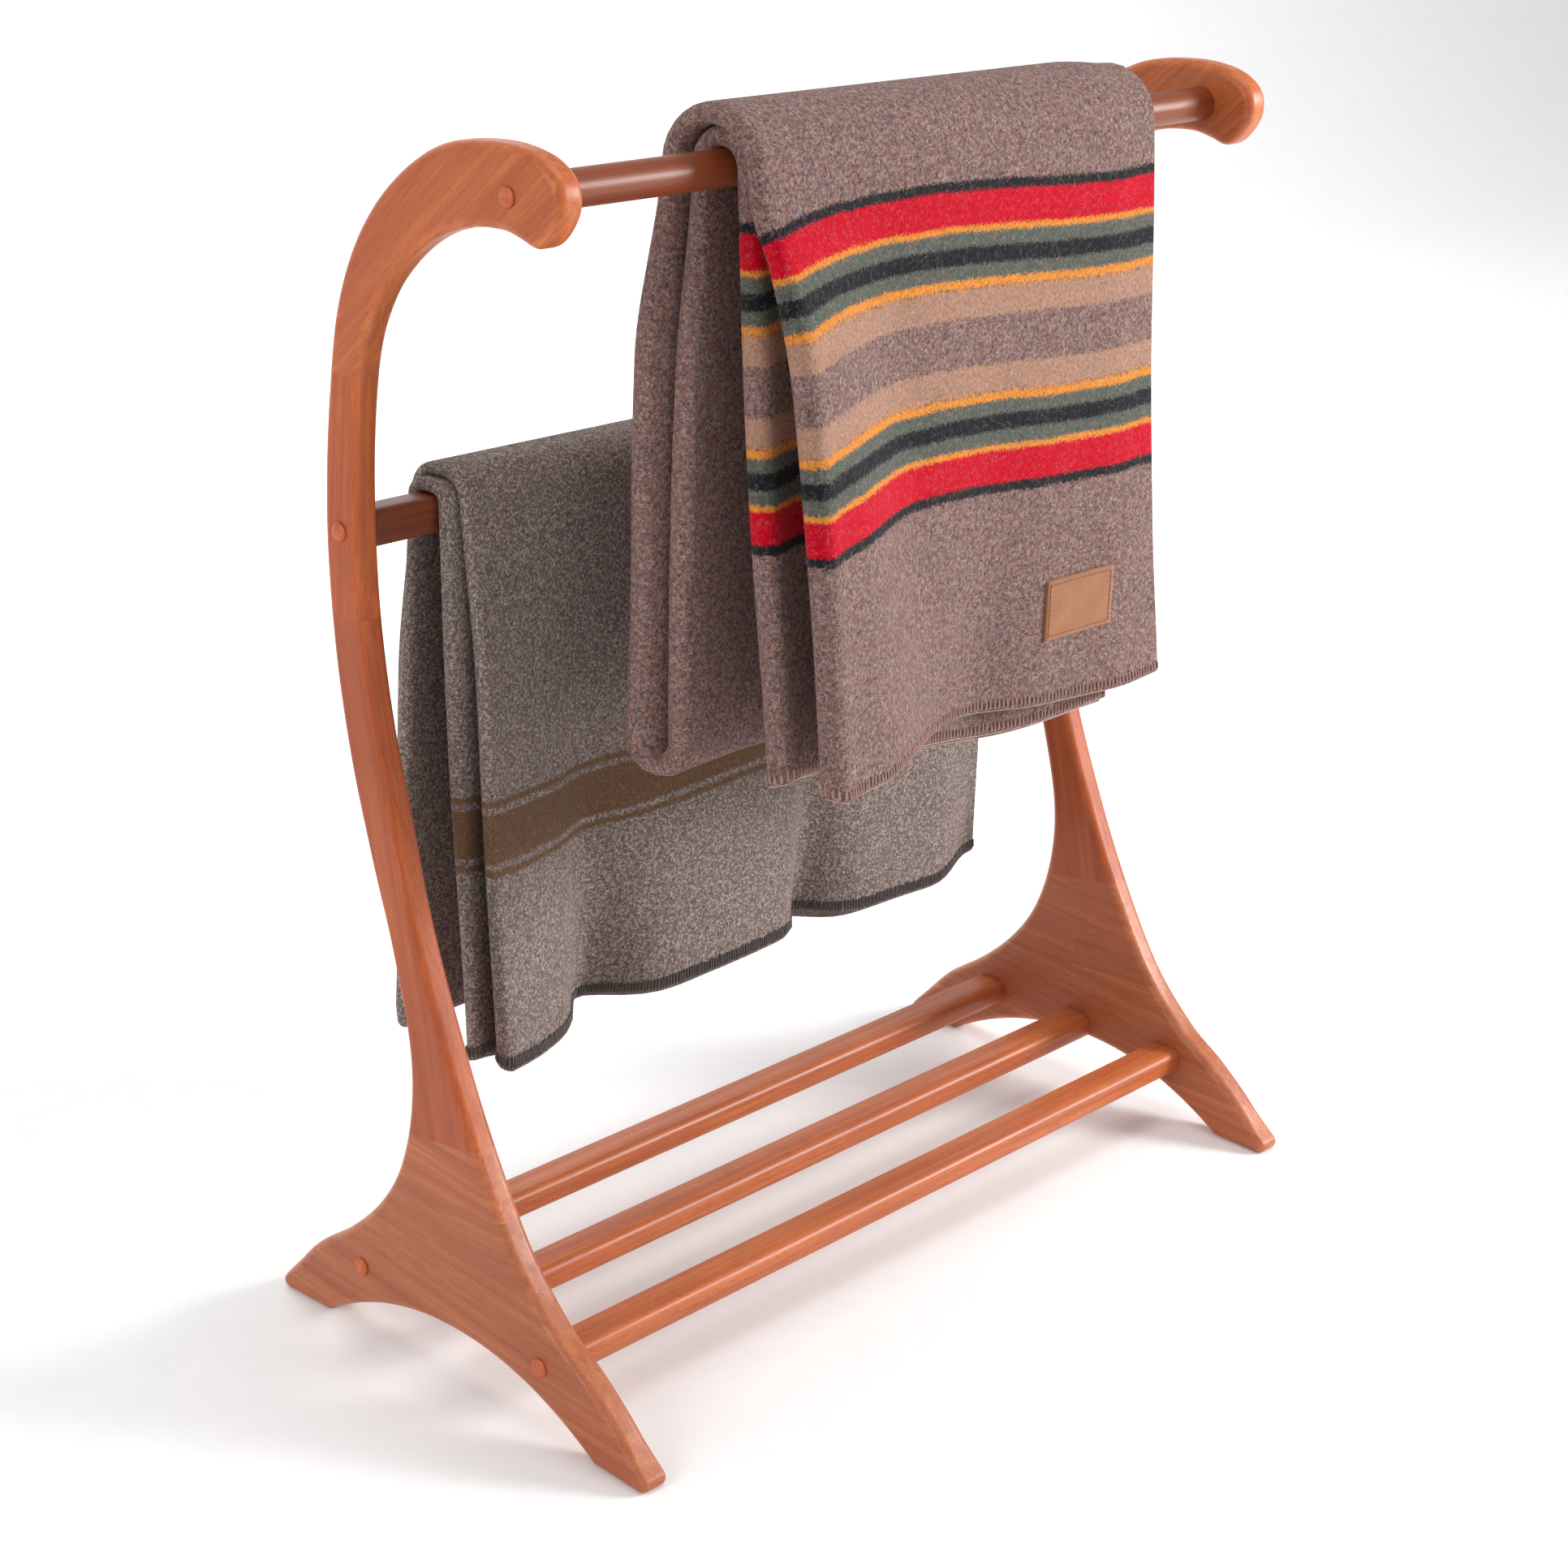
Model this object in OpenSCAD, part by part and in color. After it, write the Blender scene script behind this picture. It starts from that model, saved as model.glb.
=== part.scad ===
// Free-standing blanket rack with two folded blankets hung on it.
// X runs along the rails, -Y is the front, Z = 0 is the floor.

/* [Rack] */
// Distance between the outer faces of the two side frames
rack_w = 755; // [640:1:860]
// Height of the side frames
frame_h = 900; // [860:1:940]
// Length of the feet, front to back
foot_l = 394; // [380:1:410]
// Thickness of the side frame boards
board_t = 23; // [21:0.5:26]
// Height of the arch under the base
arch_h = 44; // [38:0.5:46]
// Half the width of the arch at the floor
arch_half = 145; // [140:1:150]

/* [Rails] */
// Diameter of the round top rail
top_rail_d = 26; // [24:0.5:28]
// Depth and height of the middle rail
middle_rail_size = [22, 27]; // [20:0.5:28]
// Depth and height of the shelf rails
shelf_rail_size = [28, 21]; // [19:0.5:29]
// Height of the flat tops of the shelf rails
shelf_z = 65.5; // [64.5:0.5:68]

/* [Fastenings] */
// Diameter of the domed plug heads
plug_d = 14; // [13:0.5:16]
// How far the plugs stand proud of the boards
plug_proud = 3; // [2:0.5:4]
// Diameter of the rail screws
screw_d = 6; // [5:0.5:6.5]
// Length of the rail screws below the head
screw_l = 55; // [45:1:65]
// Diameter of the dowels
dowel_d = 6; // [5:0.5:6]

/* [Blankets] */
// Left end of the top blanket on its rail
top_left = -200; // [-205:1:-190]
// Right end of the top blanket on its rail
top_right = 290; // [250:1:292]
// Height of the lower edge of the top blanket
top_hem_z = 414; // [400:1:440]
// Thickness of the folded top blanket over the rail
top_fold_t = 35.6; // [30:0.1:36]
// Left end of the lower blanket on its rail
low_left = -300; // [-302:1:-260]
// Right end of the lower blanket on its rail
low_right = 289; // [250:1:292]
// Height of the lower edge of the lower blanket
low_hem_z = 204; // [200:1:230]
// Thickness of the folded lower blanket over the rail
low_fold_t = 19; // [16:0.5:20]
// Width and height of the leather label
label_size = [77, 48]; // [40:1:90]

/* [Hidden] */
$fn = 48;

LEFT = -1;
RIGHT = 1;
gap = 0.05;                          // radial room round screws and dowels
wool_gap = 0.4;                      // room between wool and wood
inner_x = rack_w / 2 - board_t;      // inner face of the right side frame
outer_x = rack_w / 2;                // outer face of the right side frame

// The side frame's outline is drawn at a height of 900 and a foot length of 394.
function fit_yz(p) = [p[0] * foot_l / 394, p[1] * frame_h / 900];

// Rail centres, [y, z]
top_at = fit_yz([-50, 868]);
middle_at = fit_yz([118, 615]);
shelf_mid_z = shelf_z - shelf_rail_size[1] / 2;
rear_at = [102 * foot_l / 394, shelf_mid_z];
centre_at = [5, shelf_mid_z];
front_at = [-91 * foot_l / 394, shelf_mid_z];
screwed_rails = [top_at, middle_at, rear_at, front_at];

// Seams between the boards of a side frame, bottom to top
foot_seam = 34;
lower_seam = 106;
middle_seam = 148;
base_seam = 191;
post_seam = 555;
hook_seam = 725;
base_seam_tilt = 8;                  // the post stands square to its lean, so its foot is cut at a slope
butt_y = 15;                         // butt joint in the middle board

counterbore_d = 12;
counterbore_depth = 9;
plug_shank = 5;
socket_depth = 6;                    // the round rail is let into the hooks
rail_dowel_l = 30;
board_dowel_depth = 12;
joint_dowel_l = 40;

// ---------- outline of a side frame ----------

rear_edge = [
    [197, 6], [183, 24], [157, 52], [118, 81], [85, 114], [62, 152], [50, 200], [51, 252],
    [69, 320], [91, 383], [112, 450], [127, 520], [135, 590], [136, 645], [132, 705], [122, 770]
];
crown = [[99, 823], [63, 864], [17, 892], [-33, 900], [-72, 896], [-93, 883], [-97, 864], [-87, 846]];
throat = [[-74, 838], [-58, 842], [-40, 845], [-10, 842], [24, 830], [55, 808], [80, 778], [96, 737], [103, 670]];
front_edge = [
    [102, 600], [96, 540], [83, 475], [63, 407], [41, 334], [6, 250], [-26, 186], [-62, 127],
    [-101, 86], [-136, 62], [-162, 41], [-184, 18], [-197, 6]
];
toe_r = 6;

// Catmull-Rom curve through the points, with steps chords between each pair
function curve_at(a, b, c, d, t) =
    0.5 * (2 * b + (c - a) * t + (2 * a - 5 * b + 4 * c - d) * t * t + (3 * b - a - 3 * c + d) * t * t * t);
function curve(p, steps) = [
    for (i = [0 : len(p) - 2])
        let (a = i == 0 ? 2 * p[0] - p[1] : p[i - 1])
        let (d = i == len(p) - 2 ? 2 * p[i + 1] - p[i] : p[i + 2])
        for (k = [0 : steps - 1]) curve_at(a, p[i], p[i + 1], d, k / steps),
    p[len(p) - 1]
];

function arc(centre, r, from, to, steps = 8) = [
    for (k = [0 : steps]) centre + r * [cos(from + (to - from) * k / steps), sin(from + (to - from) * k / steps)]
];

function arch_z(y) = arch_h * (1 - pow(abs(y) / arch_half, 2.1));
arch = [for (k = [-12 : 12]) [arch_half * k / 12, arch_z(arch_half * k / 12)]];

toe_y = foot_l / 2 - toe_r;
outline = concat(
    [for (p = curve(concat(rear_edge, crown, throat, front_edge), 6)) fit_yz(p)],
    arc([-toe_y, toe_r], toe_r, 190, 270, 6),
    arch,
    arc([toe_y, toe_r], toe_r, 270, 350, 6)
);

// ---------- shared shapes ----------

// The right side is drawn, and the left side is its mirror image.
module on(side) {
    if (side == LEFT) mirror([1, 0, 0]) children();
    else children();
}

// Extrudes a Y-Z drawing along X
module slab(x, t) {
    translate([x, 0, 0]) rotate([90, 0, 90]) linear_extrude(t) children();
}

module rod_x(x, at, d, l) {
    translate([x, at[0], at[1]]) rotate([0, 90, 0]) cylinder(d = d, h = l);
}

function rounded(size, r) = let (w = size[0] / 2, h = size[1] / 2) concat(
    arc([w - r[0], h - r[0]], r[0], 0, 90),
    arc([-w + r[1], h - r[1]], r[1], 90, 180),
    arc([-w + r[2], -h + r[2]], r[2], 180, 270),
    arc([w - r[3], -h + r[3]], r[3], 270, 360)
);

function band(z0, z1, y0 = -250, y1 = 250) = [[y0, z0], [y1, z0], [y1, z1], [y0, z1]];
function tilted(y) = base_seam - y * tan(base_seam_tilt);

// ---------- side frames ----------

module rail_screw_holes() {
    for (at = screwed_rails) {
        rod_x(outer_x - counterbore_depth, at, counterbore_d + 2 * gap, counterbore_depth + 1);
        rod_x(inner_x - 1, at, screw_d + 2 * gap, board_t + 2);
    }
}

module rail_dowels(slack = 0) {
    for (at = rail_dowel_places())
        rod_x(inner_x - rail_dowel_l + board_dowel_depth - slack, at, dowel_d + 2 * slack, rail_dowel_l + 2 * slack);
}

function rail_dowel_places() = [
    middle_at - [0, 8],
    rear_at + [8.5, 0],
    front_at - [8.5, 0],
    centre_at + [7, 0],
    centre_at - [7, 0]
];

// Dowels standing in the three end-grain joints, [y, z of the middle]
joint_dowel_places = [for (p = [[107, 725], [121, 725], [107, 555], [121, 555], [0, 190], [28, 188]]) fit_yz(p)];

module joint_dowels(slack = 0) {
    for (at = joint_dowel_places)
        translate([(inner_x + outer_x) / 2, at[0], at[1] - joint_dowel_l / 2 - slack])
            cylinder(d = dowel_d + 2 * slack, h = joint_dowel_l + 2 * slack);
}

module board(side, region) {
    color("sienna") on(side) difference() {
        slab(inner_x, board_t) intersection() {
            polygon(outline);
            polygon(region);
        }
        rail_screw_holes();
        rail_dowels(gap);
        joint_dowels(gap);
        rod_x(inner_x - 1, top_at, top_rail_d + 2 * gap, socket_depth + 1);
    }
}

module hook(side) { board(side, band(hook_seam * frame_h / 900, frame_h + 20)); }
module upper_post(side) { board(side, band(post_seam * frame_h / 900, hook_seam * frame_h / 900)); }
module lower_post(side) {
    board(side, [[-250, tilted(-250)], [250, tilted(250)], [250, post_seam * frame_h / 900], [-250, post_seam * frame_h / 900]]);
}
module base_top(side) {
    board(side, [[-250, middle_seam], [250, middle_seam], [250, tilted(250)], [-250, tilted(-250)]]);
}
module base_middle_front(side) { board(side, band(lower_seam, middle_seam, y1 = butt_y)); }
module base_middle_rear(side) { board(side, band(lower_seam, middle_seam, y0 = butt_y)); }
module base_lower(side) { board(side, band(foot_seam, lower_seam)); }
module front_foot(side) { board(side, band(-1, foot_seam, y1 = 0)); }
module rear_foot(side) { board(side, band(-1, foot_seam, y0 = 0)); }

// ---------- rails ----------

module rail(at, reach = 0) {
    color("peru") difference() {
        slab(-inner_x - reach, 2 * (inner_x + reach)) translate(at) children();
        for (side = [LEFT, RIGHT]) on(side) {
            rod_x(outer_x - counterbore_depth - screw_l - 1, at, screw_d + 2 * gap, screw_l + 2);
            rail_dowels(gap);
        }
    }
}

module round_rail() { rail(top_at, socket_depth - gap) circle(d = top_rail_d); }
module middle_rail() { rail(middle_at) polygon(rounded(middle_rail_size, [4, 4, 4, 4])); }
module shelf_rail(at) { rail(at) polygon(rounded(shelf_rail_size, [2, 7, 7, 3])); }
module doweled_rail(at) {
    color("peru") difference() {
        slab(-inner_x, 2 * inner_x) translate(at) polygon(rounded(shelf_rail_size, [2, 7, 7, 3]));
        for (side = [LEFT, RIGHT]) on(side) rail_dowels(gap);
    }
}

// ---------- fastenings ----------

module plug(side, at) {
    dome = [for (k = [0 : 8]) [plug_d / 2 * sin(90 - 11.25 * k), 1 + (plug_proud - 1) * sin(11.25 * k)]];
    color("chocolate") on(side) translate([outer_x, at[0], at[1]]) rotate([0, 90, 0]) rotate_extrude()
        polygon(concat([[0, -plug_shank], [counterbore_d / 2, -plug_shank], [counterbore_d / 2, 0], [plug_d / 2, 0]], dome));
}

module screw(at) {
    head_x = outer_x - counterbore_depth;
    difference() {
        union() {
            rod_x(head_x - screw_l, at, screw_d, screw_l + 1);
            rod_x(head_x, at, counterbore_d - 1, counterbore_depth - plug_shank - gap);
        }
        translate([head_x + 1.4, at[0], at[1]]) rotate([0, 90, 0]) cylinder(d = 5.8, h = 4, $fn = 6);
    }
}

module rail_screws(side) { color("silver") on(side) for (at = screwed_rails) screw(at); }
module side_rail_dowels(side) { color("burlywood") on(side) rail_dowels(); }
module side_joint_dowels(side) { color("burlywood") on(side) joint_dowels(); }

// ---------- blankets ----------

// A folded blanket over the round rail: the saddle and two hanging panels
top_r = top_rail_d / 2 + top_fold_t;
top_in_r = top_rail_d / 2 + wool_gap;
top_crest = top_at + [4, 0];
top_profile = concat(
    arc(top_crest, top_r, 0, 180, 24),
    [[top_crest[0] - top_r, top_hem_z], [top_at[0] - top_in_r - 6, top_hem_z]],
    arc(top_at, top_in_r, 180, 0, 24),
    [[top_at[0] + top_in_r + 14, top_hem_z + 10], [top_at[0] + top_in_r + 22, top_hem_z]],
    [[top_crest[0] + top_r + 14, top_hem_z], [top_crest[0] + top_r + 20, top_hem_z + 12]]
);

module top_blanket() {
    color("rosybrown") slab(top_left, top_right - top_left) polygon(top_profile);
}

low_in = [middle_rail_size[0] / 2 + wool_gap, middle_rail_size[1] / 2 + wool_gap];
low_top = middle_at[1] + middle_rail_size[1] / 2 + low_fold_t;
low_front = middle_at[0] - low_in[0];
low_rear = middle_at[0] + low_in[0];
low_profile = concat(
    arc([low_rear + 4, low_top - 15], 15, 0, 90),
    arc([low_front - 4, low_top - 15], 15, 90, 180),
    [[low_front - 45, low_hem_z], [low_front - 20, low_hem_z], [low_front, middle_at[1] - low_in[1]]],
    [[low_front, middle_at[1] + low_in[1]], [low_rear, middle_at[1] + low_in[1]]],
    [[low_rear, middle_at[1] - low_in[1]], [low_rear + 10, low_hem_z + 8], [low_rear + 14, low_hem_z]],
    [[low_rear + 28, low_hem_z], [low_rear + 32, low_hem_z + 10]]
);

module lower_blanket() {
    color("slategray") slab(low_left, low_right - low_left) polygon(low_profile);
}

label_t = 2.5;
module leather_label() {
    color("tan") translate([top_right - 76 - label_size[0], top_crest[0] - top_r - label_t, top_hem_z + 66])
        cube([label_size[0], label_t, label_size[1]]);
}

// ---------- nodes ----------

hook(LEFT);  // left_hook
upper_post(LEFT);  // left_upper_post
lower_post(LEFT);  // left_lower_post
base_top(LEFT);  // left_base_top
base_middle_front(LEFT);  // left_base_middle_front
base_middle_rear(LEFT);  // left_base_middle_rear
base_lower(LEFT);  // left_base_lower
front_foot(LEFT);  // left_front_foot
rear_foot(LEFT);  // left_rear_foot
hook(RIGHT);  // right_hook
upper_post(RIGHT);  // right_upper_post
lower_post(RIGHT);  // right_lower_post
base_top(RIGHT);  // right_base_top
base_middle_front(RIGHT);  // right_base_middle_front
base_middle_rear(RIGHT);  // right_base_middle_rear
base_lower(RIGHT);  // right_base_lower
front_foot(RIGHT);  // right_front_foot
rear_foot(RIGHT);  // right_rear_foot
round_rail();  // top_rail
middle_rail();
shelf_rail(rear_at);  // rear_shelf_rail
doweled_rail(centre_at);  // centre_shelf_rail
shelf_rail(front_at);  // front_shelf_rail
plug(LEFT, top_at);  // left_hook_plug
plug(LEFT, middle_at);  // left_middle_plug
plug(LEFT, rear_at);  // left_rear_plug
plug(LEFT, front_at);  // left_front_plug
plug(RIGHT, top_at);  // right_hook_plug
plug(RIGHT, middle_at);  // right_middle_plug
plug(RIGHT, rear_at);  // right_rear_plug
plug(RIGHT, front_at);  // right_front_plug
rail_screws(LEFT);  // left_rail_screws
rail_screws(RIGHT);  // right_rail_screws
side_rail_dowels(LEFT);  // left_rail_dowels
side_rail_dowels(RIGHT);  // right_rail_dowels
side_joint_dowels(LEFT);  // left_joint_dowels
side_joint_dowels(RIGHT);  // right_joint_dowels
top_blanket();
lower_blanket();
leather_label();
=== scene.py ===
"""A wooden blanket rack with two folded wool blankets hung on it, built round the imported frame. Metres."""
import math

import bmesh
import bpy
import numpy as np
from mathutils import Matrix, Vector
from mathutils.geometry import tessellate_polygon


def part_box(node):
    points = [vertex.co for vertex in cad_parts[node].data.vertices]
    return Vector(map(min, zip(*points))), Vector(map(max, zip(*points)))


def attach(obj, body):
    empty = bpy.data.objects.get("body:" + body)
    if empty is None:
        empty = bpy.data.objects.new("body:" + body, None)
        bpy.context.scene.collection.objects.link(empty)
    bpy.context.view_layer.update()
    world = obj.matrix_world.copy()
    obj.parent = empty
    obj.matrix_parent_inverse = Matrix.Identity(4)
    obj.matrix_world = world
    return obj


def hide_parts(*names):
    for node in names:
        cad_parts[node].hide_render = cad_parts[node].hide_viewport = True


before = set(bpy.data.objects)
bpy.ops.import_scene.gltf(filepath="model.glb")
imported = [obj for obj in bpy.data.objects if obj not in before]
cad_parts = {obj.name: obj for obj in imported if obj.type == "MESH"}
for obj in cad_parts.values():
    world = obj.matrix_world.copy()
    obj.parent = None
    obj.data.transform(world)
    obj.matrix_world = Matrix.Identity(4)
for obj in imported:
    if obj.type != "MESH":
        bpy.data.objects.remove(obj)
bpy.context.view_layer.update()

MM = 0.001

# ---------------------------------------------------------------- mesh helpers


def new_object(name, verts, faces, material=None):
    """A smooth mesh object from lists of corners and faces."""
    mesh = bpy.data.meshes.new(name)
    mesh.from_pydata([tuple(v) for v in verts], [], [tuple(f) for f in faces])
    mesh.update()
    mesh.polygons.foreach_set("use_smooth", [True] * len(mesh.polygons))
    obj = bpy.data.objects.new(name, mesh)
    bpy.context.scene.collection.objects.link(obj)
    if material:
        mesh.materials.append(material)
    return obj


def finish_piece(obj, body, slot, *nodes):
    """Hangs a piece on its body and hides the CAD nodes it stands for."""
    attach(obj, body)
    if nodes:
        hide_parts(*nodes)
    return obj


def store(obj, name, values):
    """Keeps a number for each corner of a mesh, for its material to read."""
    obj.data.attributes.new(name, "FLOAT", "POINT").data.foreach_set("value", values)


def turn_outwards(obj):
    """Makes all the faces of a closed mesh face outwards."""
    bm = bmesh.new()
    bm.from_mesh(obj.data)
    bmesh.ops.recalc_face_normals(bm, faces=bm.faces)
    bm.to_mesh(obj.data)
    bm.free()


def grid_faces(rows, cols, closed=False, start=0):
    """Quads over a grid of rows x cols corners; closed joins the last column to the first."""
    last = cols if closed else cols - 1
    return [
        (
            start + r * cols + c,
            start + r * cols + (c + 1) % cols,
            start + (r + 1) * cols + (c + 1) % cols,
            start + (r + 1) * cols + c,
        )
        for r in range(rows - 1)
        for c in range(last)
    ]


def smooth_step(x):
    x = np.clip(x, 0, 1)
    return x * x * (3 - 2 * x)


def unit(v):
    return v / np.maximum(np.linalg.norm(v, axis=-1, keepdims=True), 1e-12)


# ---------------------------------------------------------------- material helpers


class Nodes:
    """A short way to write a node material round one Principled shader."""

    def __init__(self, name, **settings):
        self.material = bpy.data.materials.new(name)
        self.material.use_nodes = True
        self.tree = self.material.node_tree
        self.shader = self.tree.nodes["Principled BSDF"]
        for key, value in settings.items():
            self.shader.inputs[key.replace("_", " ")].default_value = value

    def add(self, kind, inputs=None, **props):
        node = self.tree.nodes.new("ShaderNode" + kind)
        for key, value in props.items():
            setattr(node, key, value)
        for key, value in (inputs or {}).items():
            self.set(node.inputs[key], value)
        return node

    def set(self, socket, value):
        if isinstance(value, bpy.types.NodeSocket):
            self.tree.links.new(value, socket)
        else:
            socket.default_value = value

    def base_colour(self, colour):
        self.set(self.shader.inputs["Base Color"], colour)

    def math(self, operation, a, b=0.0, clamp=False):
        return self.add("Math", {0: a, 1: b}, operation=operation, use_clamp=clamp).outputs[0]

    def mix(self, factor, a, b, blend="MIX"):
        node = self.add("Mix", data_type="RGBA", blend_type=blend)
        self.set(node.inputs[0], factor)
        self.set(node.inputs[6], a)
        self.set(node.inputs[7], b)
        return node.outputs[2]

    def noise(self, vector, scale, detail=2.0, roughness=0.5, distortion=0.0):
        values = {"Vector": vector, "Scale": scale, "Detail": detail, "Roughness": roughness}
        values["Distortion"] = distortion
        return self.add("TexNoise", values).outputs[0]

    def stray(self, noise, reach):
        """How far a noise strays from its middle value, times a reach."""
        return self.math("MULTIPLY", self.math("SUBTRACT", noise, 0.5), reach)

    def ramp(self, factor, stops):
        node = self.add("ValToRGB", {0: factor})
        elements = node.color_ramp.elements
        while len(elements) < len(stops):
            elements.new(0.5)
        for element, (position, colour) in zip(elements, stops):
            element.position = position
            element.color = colour
        return node.outputs[0]

    def map_range(self, value, low, high, to_low=0.0, to_high=1.0):
        values = {0: value, 1: low, 2: high, 3: to_low, 4: to_high}
        return self.add("MapRange", values).outputs[0]

    def coords(self, scale=(1, 1, 1), rotation=(0, 0, 0), offset=(0, 0, 0)):
        source = self.add("TexCoord").outputs["Object"]
        values = {"Vector": source, "Location": offset, "Rotation": rotation, "Scale": scale}
        return self.add("Mapping", values).outputs[0]

    def scaled(self, vector, along, across):
        """Squeezes a vector so that a noise stretches along X."""
        return self.add("Mapping", {"Vector": vector, "Scale": (along, across, across)}).outputs[0]

    def bump(self, height, strength, distance):
        node = self.add("Bump", {"Height": height, "Strength": strength, "Distance": distance})
        self.set(self.shader.inputs["Normal"], node.outputs[0])


def srgb(r, g, b):
    """A colour given on the usual 0..255 scale, as the linear colour that shaders use."""
    channels = [c / 255 for c in (r, g, b)]
    linear = [c / 12.92 if c <= 0.04045 else ((c + 0.055) / 1.055) ** 2.4 for c in channels]
    return (*linear, 1.0)


# ---------------------------------------------------------------- materials

STAINS = [srgb(190, 104, 52), srgb(170, 84, 40), srgb(140, 62, 28)]
VARNISH = {"Roughness": 0.45, "Coat_Weight": 0.12, "Coat_Roughness": 0.22, "IOR": 1.42}


def varnished_wood(name, rotation, tone=(1, 1, 1), offset=(0, 0, 0)):
    """Stained rubberwood under satin varnish. The grain runs along X after the rotation."""
    m = Nodes(name, **VARNISH)
    along = m.coords(rotation=rotation, offset=offset)
    streaks = m.noise(m.scaled(along, 4, 150), 1.0, 4, 0.62, 0.15)
    fine = m.noise(m.scaled(along, 16, 620), 1.0, 3, 0.6)
    pores = m.noise(m.scaled(along, 110, 1700), 1.0, 1, 0.5)
    cloud = m.noise(along, 9.0, 2, 0.5)
    light, middle, dark = ([c * t for c, t in zip(stain, tone)] + [1] for stain in STAINS)
    colour = m.ramp(streaks, [(0.22, dark), (0.5, middle), (0.78, light)])
    colour = m.mix(m.map_range(fine, 0.42, 0.7, 0, 0.5), colour, dark)
    colour = m.mix(m.map_range(cloud, 0.35, 0.7, 0, 0.35), colour, dark)
    pits = m.map_range(pores, 0.62, 0.72, 0, 0.5)
    colour = m.mix(pits, colour, srgb(92, 40, 22))
    # painted shade from the mesh: the boards' broad faces are darkened so their roundovers and narrow edges
    # stay lighter as a painted highlight, and each rail is darkened where it meets a frame
    painted_shade_mask = m.add("Attribute", attribute_name="painted_shade").outputs["Fac"]
    colour = m.mix(m.math("MULTIPLY", painted_shade_mask, 0.35), colour, srgb(128, 56, 32))
    m.base_colour(colour)
    m.set(m.shader.inputs["Roughness"], m.map_range(streaks, 0.2, 0.8, 0.5, 0.4))
    relief = m.math("SUBTRACT", m.math("MULTIPLY", fine, 0.4), m.math("MULTIPLY", pits, 0.5))
    m.bump(relief, 0.10, 0.15 * MM)
    return m.material


def plain_wood(name):
    """Pale unfinished beech for the hidden dowels."""
    m = Nodes(name, Roughness=0.7)
    grain = m.noise(m.coords(scale=(60, 400, 400)), 1.0, 4, 0.6)
    m.base_colour(m.ramp(grain, [(0.3, srgb(176, 134, 96)), (0.7, srgb(218, 184, 140))]))
    m.bump(grain, 0.2, 0.1 * MM)
    return m.material


def zinc_steel(name):
    """Zinc-plated screw steel with fine turning marks."""
    m = Nodes(name, Metallic=1.0, Roughness=0.35)
    marks = m.noise(m.coords(scale=(2500, 90, 90)), 1.0, 3, 0.6)
    m.base_colour(m.ramp(marks, [(0.3, srgb(140, 142, 146)), (0.7, srgb(206, 208, 212))]))
    m.set(m.shader.inputs["Roughness"], m.map_range(marks, 0.2, 0.8, 0.28, 0.5))
    return m.material


def hairs(m, scale, width, cover, index):
    """Curling hairs, found where a noise passes through its middle value, broken up by a second noise."""
    shifted = m.coords(offset=(0.37 * (index + 1), 0.11 * index, 0.23 * index))
    off = m.math("ABSOLUTE", m.math("SUBTRACT", m.noise(shifted, scale, 1.5, 0.5, 0.9), 0.5))
    line = m.map_range(off, 0, width, cover, 0)
    return m.math("MULTIPLY", line, m.map_range(m.noise(shifted, scale * 0.7, 1, 0.5), 0.46, 0.56))


def heather(m, clump, light, dark, flecks):
    """Mixed wool: light and dark clumps under hairs of other colours, each (scale, width, cover, colour)."""
    curl = m.noise(m.coords(), clump, 4, 0.7, 0.8)
    colour = m.ramp(curl, [(0.38, dark), (0.62, light)])
    for index, (scale, width, cover, tint) in enumerate(flecks):
        colour = m.mix(hairs(m, clump * scale, width, cover, index), colour, tint)
    return colour


def stripe_ramps(stripes, softness):
    """Stops for the stripe colours and for how much of the wool they cover, from the centre outwards.

    Each stripe is (its far side from the centre, colour, cover); a cover of 0 leaves the heather.
    """
    reach = stripes[-1][0] * 1.2
    colours, covers = [], []
    near = 0.0
    for far, colour, cover in stripes + [(reach, stripes[-1][1], 0.0)]:
        for side in (near + softness / 2 if near else 0.0, far - softness / 2):
            colours.append((side / reach, colour))
            covers.append((side / reach, (cover, cover, cover, 1)))
        near = far
    return reach, colours, covers


def striped_wool(name, clump, light, dark, flecks, stripes, centre, softness, relief, pale):
    """Heathered wool with stripes that lie evenly round a line at a given height over the hem."""
    m = Nodes(name, Roughness=0.95, Sheen_Weight=0.06, Sheen_Roughness=0.5)
    m.shader.inputs["Specular IOR Level"].default_value = 0.1
    space = m.coords()
    wool = heather(m, clump, light, dark, flecks)
    hem = m.add("Attribute", attribute_name="hem_distance").outputs["Fac"]
    ragged = m.stray(m.noise(space, clump * 1.3, 3, 0.7), 7 * softness)
    wander = m.stray(m.noise(space, 30, 2, 0.5), 3 * MM)
    away = m.math("ABSOLUTE", m.math("SUBTRACT", m.math("ADD", hem, wander), centre))
    reach, colours, covers = stripe_ramps(stripes, softness)
    place = m.math("DIVIDE", m.math("ADD", away, ragged), reach)
    cover = m.ramp(place, covers)
    # where a stripe is blended with the heather, it breaks up into clumps
    patchy = m.stray(m.noise(space, clump * 1.1, 3, 0.7), 14)
    patchy = m.math("MULTIPLY", patchy, m.math("SUBTRACT", 1, cover))
    cover = m.math("MULTIPLY", cover, m.math("ADD", 1, patchy), clamp=True)
    colour = m.mix(cover, wool, m.ramp(place, colours))
    colour = m.mix(hairs(m, clump * 0.8, 0.06, 0.14, 7), colour, pale)
    tuft_relief_and_shade = m.noise(space, clump * 1.1, 3, 0.68, 0.8)
    # painted shade in the hollows between tufts and painted light on their tops, from the same noise as the
    # bump
    colour = m.mix(1.0, colour, m.map_range(tuft_relief_and_shade, 0.34, 0.66, 0.72, 1.22), "MULTIPLY")
    m.base_colour(colour)
    m.bump(tuft_relief_and_shade, 0.9, relief)
    return m.material


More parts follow.
